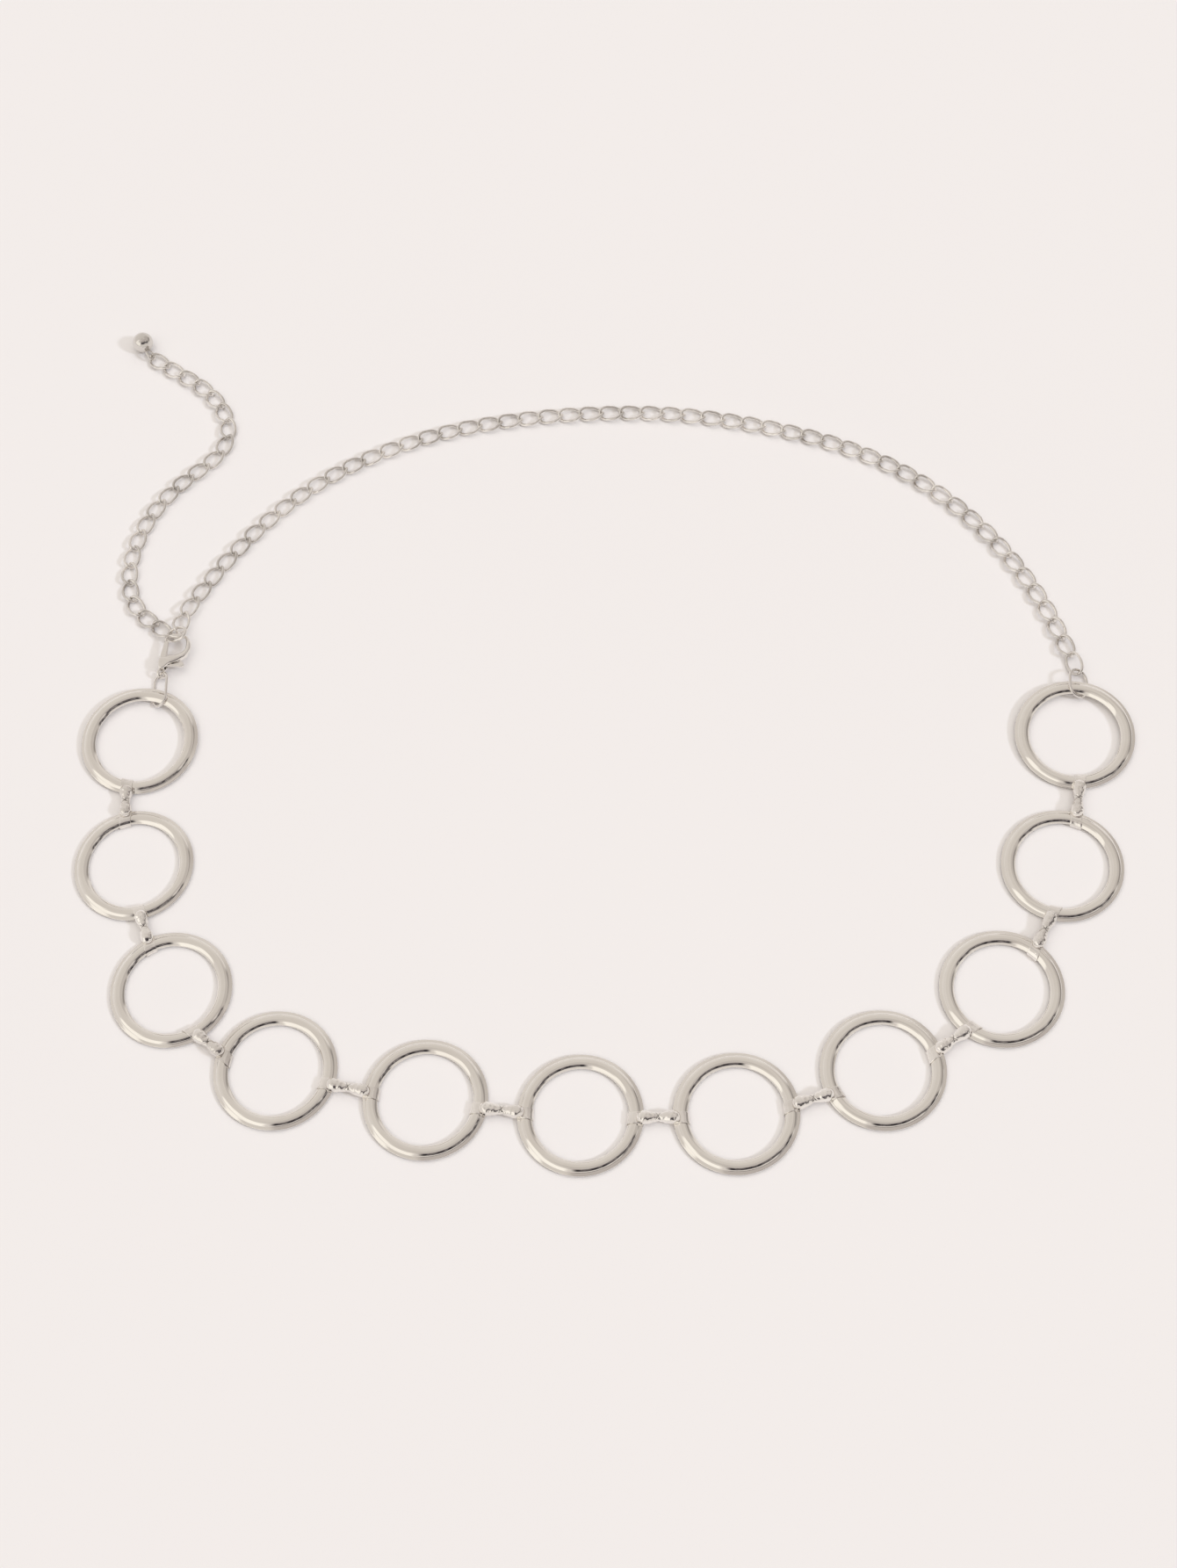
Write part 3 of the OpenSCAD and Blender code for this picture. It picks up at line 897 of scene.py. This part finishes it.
def surface(field, origin, step):
    """Closed quad surface where the field changes sign, one point in each cell it crosses."""
    inside = field < 0
    shape = np.array(field.shape) - 1
    total = np.zeros((*shape, 3))
    count = np.zeros(shape)
    corner = [(i, j, k) for i in (0, 1) for j in (0, 1) for k in (0, 1)]

    def part(a, c):
        return a[c[0]:c[0] + shape[0], c[1]:c[1] + shape[1], c[2]:c[2] + shape[2]]

    for c in corner:
        for axis in range(3):
            if c[axis]:
                continue
            e = list(c)
            e[axis] = 1
            f0, f1 = part(field, c), part(field, e)
            hit = part(inside, c) != part(inside, e)
            t = np.where(hit, f0 / np.where(hit, f0 - f1, 1), 0)
            for a in range(3):
                total[..., a] += np.where(hit, c[a] + (t if a == axis else 0), 0)
            count += hit
    cells = np.argwhere(count > 0)
    index = np.full(shape, -1)
    index[tuple(cells.T)] = np.arange(len(cells))
    offset = total[tuple(cells.T)] / count[tuple(cells.T)][:, None]
    points = origin + (cells + offset) * step
    faces = []
    for axis in range(3):
        u, v = (axis + 1) % 3, (axis + 2) % 3
        lo = [slice(1, -1)] * 3
        lo[axis] = slice(0, -1)
        hi = [slice(1, -1)] * 3
        hi[axis] = slice(1, None)
        edges = np.argwhere(inside[tuple(lo)] != inside[tuple(hi)])
        edges[:, u] += 1
        edges[:, v] += 1
        du, dv = np.eye(3, dtype=int)[u], np.eye(3, dtype=int)[v]
        around = ((0, 0), (1, 0), (1, 1), (0, 1))
        quad = np.stack([index[tuple((edges - a * du - b * dv).T)] for a, b in around], 1)
        flip = inside[tuple(edges.T)]
        quad[~flip] = quad[~flip][:, ::-1]
        faces.append(quad)
    return points, np.concatenate(faces).tolist()


def clasp_grid(low, high, step):
    """Axes of a grid between two corners, and its origin."""
    axes = [np.arange(low[k], high[k] + step, step) for k in range(3)]
    return axes, np.array(low, float)


def rounded_plate(axes, outline, thickness, edge):
    """Distance to a plate of the outline whose edges are rounded."""
    curve = smooth_outline(outline, OUTLINE_STEPS)
    flat = outline_distance(curve, axes[0], axes[1])[:, :, None] + edge
    z = np.abs(axes[2])[None, None, :]
    half = thickness / 2
    rise = z - (half - edge)
    outside = np.sqrt(np.maximum(flat, 0) ** 2 + np.maximum(rise, 0) ** 2)
    return outside + np.minimum(np.maximum(flat, rise), 0) - edge


def clasp_piece(name, field, origin, step, material, node, body):
    points, faces = surface(field, origin, step)
    shell = Shell()
    shell.add(points, faces)
    shell.move(shift(left_tip[0], left_tip[1], CLASP_Z) @ turn_about(CLASP_TURN, "Z"))
    piece(name, shell, material, node, body=body, sharp=50)


def build_clasp_body():
    axes, origin = clasp_grid((-3.2, -3.2, -3.4), (9.6, 16.4, 2.4), BODY_GRID)
    x, y, z = np.meshgrid(*axes, indexing="ij")
    full = rounded_plate(axes, BODY_OUTLINE, CLASP_T, ROOT_EDGE)
    cheeks = rounded_plate(axes, BODY_OUTLINE, CLASP_T, CHEEK_EDGE)
    cheeks = soft_max(cheeks, np.maximum(y - CHEEK_TOP, x - CHEEK_RIGHT), 0.6)
    full = soft_min(full, cheeks, 0.3)
    hook = rounded_plate(axes, BODY_OUTLINE, CLASP_T * HOOK_THIN, HOOK_EDGE)
    root = soft_max(full, y - ROOT_TOP, ROOT_BLEND)
    solid = soft_min(root, hook, 0.6)
    # eye, leaning with the jump ring
    lean = math.radians(90 + LEFT_ROLL)
    dz = z - (LEFT_JUMP_Z - CLASP_Z)
    ax = np.array([math.sin(lean), 0, math.cos(lean)])
    h = x * ax[0] + dz * ax[2]
    q = np.sqrt(np.maximum((x - h * ax[0]) ** 2 + y ** 2 + (dz - h * ax[2]) ** 2, 0))
    eye = np.sqrt(((q - RIM_R) / RIM_HALF) ** 2 + (h / RIM_HALF_ACROSS) ** 2) * 0.5 - 0.5
    solid = soft_min(solid, eye, 0.35)
    hole = np.maximum(q - HOLE_R, np.abs(h) - HOLE_HALF)
    solid = soft_max(solid, -hole, 0.15)
    # slot for the lever, and the pin across it
    slot = outline_distance(np.array(SLOT_OUTLINE, float), axes[0], axes[1])[:, :, None]
    slot = np.maximum(slot + 0 * z, np.abs(z) - (LEVER_T / 2 + SLOT_CLEAR))
    solid = soft_max(solid, -slot, 0.12)
    from_pin = np.hypot(x - PIVOT[0], y - PIVOT[1])
    pin = np.maximum(from_pin - PIN_D / 2, np.abs(z) - PIN_HALF)
    solid = np.minimum(solid, pin)
    above = (z - CLASP_T / 2 + HEAD_SUNK) * HEAD_FLAT
    head = np.sqrt((x - PIVOT[0]) ** 2 + (y - PIVOT[1]) ** 2 + above ** 2) - HEAD_R
    solid = soft_min(solid, head, 0.08)
    clasp_piece("clasp_body_casting", solid, origin, BODY_GRID, CLASP_METAL, "clasp_body", BELT)


def build_clasp_lever():
    axes, origin = clasp_grid((-2.2, 1.4, -1.3), (9.2, 13.2, 1.3), LEVER_GRID)
    x, y, z = np.meshgrid(*axes, indexing="ij")
    solid = rounded_plate(axes, LEVER_OUTLINE, LEVER_T, LEVER_EDGE)
    from_pin = np.hypot(x - PIVOT[0], y - PIVOT[1])
    hub = np.maximum(from_pin - HUB_R, np.abs(z) - LEVER_T / 2)
    solid = soft_min(solid, hub, 0.15)
    bore = PIN_D / 2 + PIN_CLEAR - from_pin
    solid = np.maximum(solid, bore)
    clasp_piece("clasp_lever_casting", solid, origin, LEVER_GRID, LEVER_METAL, "clasp_lever",
                LEVER)


build_clasp_body()
build_clasp_lever()


# ---- floor, light, camera: from here on in metres ----

FLOOR_HALF = 6.0


def build_floor():
    mesh = bpy.data.meshes.new("floor")
    corners = [(x * FLOOR_HALF, y * FLOOR_HALF, 0) for x, y in ((-1, -1), (1, -1), (1, 1), (-1, 1))]
    mesh.from_pydata(corners, [], [(0, 1, 2, 3)])
    mat = bpy.data.materials.new("floor_card")
    mat.use_nodes = True
    nodes, links = mat.node_tree.nodes, mat.node_tree.links
    shader = nodes["Principled BSDF"]
    shader.inputs["Roughness"].default_value = 0.95
    shader.inputs["Specular IOR Level"].default_value = 0.0
    place = nodes.new("ShaderNodeTexCoord")
    n = nodes.new("ShaderNodeTexNoise")
    n.inputs["Scale"].default_value = 3.0
    links.new(place.outputs["Object"], n.inputs["Vector"])
    ramp = nodes.new("ShaderNodeValToRGB")
    fill_ramp(ramp, [(0, (0.852, 0.808, 0.790)), (1, (0.868, 0.824, 0.806))])
    links.new(n.outputs["Fac"], ramp.inputs["Fac"])
    links.new(ramp.outputs["Color"], shader.inputs["Base Color"])
    mesh.materials.append(mat)
    add_object("floor", mesh)


DEGREES = 57.29578
WINDOW = (1.12, 1.07, 1.00)
FLOOR_FILL = (1.02, 1.0, 0.965)
FILL_STRENGTH = 1.72
# The room by elevation, as parts of a right angle, and the shades of its dark side
ROOM = [
    (0.0, (0.83, 0.79, 0.75)), (0.15, (0.82, 0.77, 0.73)), (0.28, (0.75, 0.70, 0.66)),
    (0.42, (0.79, 0.74, 0.70)), (0.62, (0.73, 0.68, 0.635)), (0.82, (0.72, 0.67, 0.625)),
    (0.92, (0.60, 0.555, 0.52)),
]
GLOOM = [
    (0.37, (0.030, 0.026, 0.030)), (0.47, (0.095, 0.085, 0.090)), (0.53, (0.18, 0.16, 0.16)),
    (0.60, (0.36, 0.33, 0.32)), (0.68, (0.72, 0.68, 0.65)),
]


def build_world():
    """Studio surroundings by direction: pale ceiling, bright windows, a dark side of the room."""
    world = bpy.data.worlds.new("studio")
    bpy.context.scene.world = world
    world.use_nodes = True
    nt = world.node_tree
    nt.nodes.clear()
    links = nt.links
    place = nt.nodes.new("ShaderNodeTexCoord")
    sep = nt.nodes.new("ShaderNodeSeparateXYZ")
    links.new(place.outputs["Generated"], sep.inputs[0])

    def math_node(op, a, b=None):
        n = nt.nodes.new("ShaderNodeMath")
        n.operation = op
        for k, v in enumerate((a, b)):
            if v is None:
                continue
            if isinstance(v, (int, float)):
                n.inputs[k].default_value = v
            else:
                links.new(v, n.inputs[k])
        return n.outputs[0]

    def window(value, low, high, soft):
        """1 between low and high, with soft edges."""
        out = None
        for lo, hi in ((low - soft, low + soft), (high + soft, high - soft)):
            m = nt.nodes.new("ShaderNodeMapRange")
            m.interpolation_type = "SMOOTHSTEP"
            m.inputs["From Min"].default_value = min(lo, hi)
            m.inputs["From Max"].default_value = max(lo, hi)
            m.inputs["To Min"].default_value = 0 if lo < hi else 1
            m.inputs["To Max"].default_value = 1 if lo < hi else 0
            links.new(value, m.inputs["Value"])
            out = m.outputs[0] if out is None else math_node("MULTIPLY", out, m.outputs[0])
        return out

    # azimuth turns from +X toward the front
    front = math_node("MULTIPLY", sep.outputs["Y"], -1.0)
    azimuth = math_node("MULTIPLY", math_node("ARCTAN2", front, sep.outputs["X"]), DEGREES)
    elevation = math_node("MULTIPLY", math_node("ARCSINE", sep.outputs["Z"]), DEGREES)

    ramp = nt.nodes.new("ShaderNodeValToRGB")
    links.new(math_node("DIVIDE", elevation, 90.0), ramp.inputs["Fac"])
    fill_ramp(ramp, ROOM)
    colour = ramp.outputs["Color"]

    def over(base, mask, col):
        """The base with a colour, or another socket's colour, laid over it by the mask."""
        mix = nt.nodes.new("ShaderNodeMix")
        mix.data_type = "RGBA"
        links.new(mask, mix.inputs["Factor"])
        links.new(base, mix.inputs[MIX_A])
        if isinstance(col, tuple):
            mix.inputs[MIX_B].default_value = (*col, 1)
        else:
            links.new(col, mix.inputs[MIX_B])
        return mix.outputs[MIX_RESULT]

    def zone(az, el, soft):
        """1 inside a range of azimuth and one of elevation, with soft edges."""
        return math_node("MULTIPLY", window(azimuth, *az, soft), window(elevation, *el, soft * 0.6))

    # the far right of the room and the ceiling's front are dimmer
    colour = over(colour, zone((-58, 18), (20, 60), 10), (0.60, 0.55, 0.515))
    colour = over(colour, zone((-40, 4), (5, 23), 6), (0.355, 0.325, 0.305))
    colour = over(colour, zone((-4, 118), (48, 72), 6), (0.55, 0.50, 0.475))
    # the dark side of the room, streaked by what stands there
    streaks = nt.nodes.new("ShaderNodeTexNoise")
    streaks.inputs["Scale"].default_value = 7.0
    streaks.inputs["Detail"].default_value = 4.0
    streaks.inputs["Roughness"].default_value = 0.65
    links.new(place.outputs["Generated"], streaks.inputs["Vector"])
    gloom = nt.nodes.new("ShaderNodeValToRGB")
    links.new(streaks.outputs["Fac"], gloom.inputs["Fac"])
    fill_ramp(gloom, GLOOM)
    colour = over(colour, zone((9, 38), (16, 39), 5), gloom.outputs["Color"])
    colour = over(colour, zone((32, 108), (30, 54), 5), gloom.outputs["Color"])
    # windows at the left front
    colour = over(colour, zone((117, 179), (15, 44), 4), WINDOW)
    colour = over(colour, zone((160, 179), (44, 60), 4), WINDOW)

    shown = nt.nodes.new("ShaderNodeBackground")
    links.new(colour, shown.inputs["Color"])
    # soft light on the floor comes mostly from overhead
    fill = nt.nodes.new("ShaderNodeBackground")
    fill.inputs["Color"].default_value = (*FLOOR_FILL, 1)
    overhead = math_node("POWER", sep.outputs["Z"], 2.0)
    links.new(math_node("MULTIPLY", overhead, FILL_STRENGTH), fill.inputs["Strength"])
    path = nt.nodes.new("ShaderNodeLightPath")
    mix = nt.nodes.new("ShaderNodeMixShader")
    links.new(path.outputs["Is Diffuse Ray"], mix.inputs["Fac"])
    links.new(shown.outputs[0], mix.inputs[1])
    links.new(fill.outputs[0], mix.inputs[2])
    out = nt.nodes.new("ShaderNodeOutputWorld")
    links.new(mix.outputs[0], out.inputs["Surface"])


# Key light: where it stands, how wide it looks, and its strength and colour
KEY_AZIMUTH, KEY_ELEVATION, KEY_WIDTH = 27, 37, 6
KEY_STRENGTH = 0.82
KEY_COLOUR = (0.89, 0.97, 1.12)


def build_key():
    """A large soft source: it casts the shadows, and leaves no hard glints in the metal."""
    light = bpy.data.lights.new("key", "SUN")
    light.energy = KEY_STRENGTH
    light.angle = math.radians(KEY_WIDTH)
    light.color = KEY_COLOUR
    obj = add_object("key", light)
    obj.visible_glossy = False
    az, el = math.radians(KEY_AZIMUTH), math.radians(KEY_ELEVATION)
    toward = Vector((math.cos(az) * math.cos(el), -math.sin(az) * math.cos(el), math.sin(el)))
    obj.rotation_euler = (-toward).to_track_quat("-Z", "Y").to_euler()


# Camera, fitted to the eleven rings: tilt below the horizon and roll in degrees, focal
# length in pixels of the photograph, and place in millimetres
CAMERA_DOWN, CAMERA_ROLL = 63.55, -5.85
CAMERA_FOCAL, PHOTO_WIDTH = 2702.4, 1340
CAMERA_AT = (-5.23, -387.41, 715.4)
SENSOR_WIDTH = 36


def build_camera():
    view_down, roll = math.radians(CAMERA_DOWN), math.radians(CAMERA_ROLL)
    fwd = Vector((0, math.cos(view_down), -math.sin(view_down)))
    up0 = Vector((0, math.sin(view_down), math.cos(view_down)))
    right0 = Vector((1, 0, 0))
    right = right0 * math.cos(roll) + up0 * math.sin(roll)
    up = up0 * math.cos(roll) - right0 * math.sin(roll)
    data = bpy.data.cameras.new("camera")
    data.sensor_fit = "HORIZONTAL"
    data.sensor_width = SENSOR_WIDTH
    data.lens = CAMERA_FOCAL / PHOTO_WIDTH * SENSOR_WIDTH
    data.clip_start = 0.01
    obj = add_object("camera", data)
    turn = Matrix((right, up, -fwd)).transposed().to_4x4()
    obj.matrix_world = Matrix.Translation([v * MM for v in CAMERA_AT]) @ turn
    bpy.context.scene.camera = obj


build_floor()
build_world()
build_key()
build_camera()
bpy.context.scene.view_settings.view_transform = "Standard"
bpy.context.scene.view_settings.look = "None"
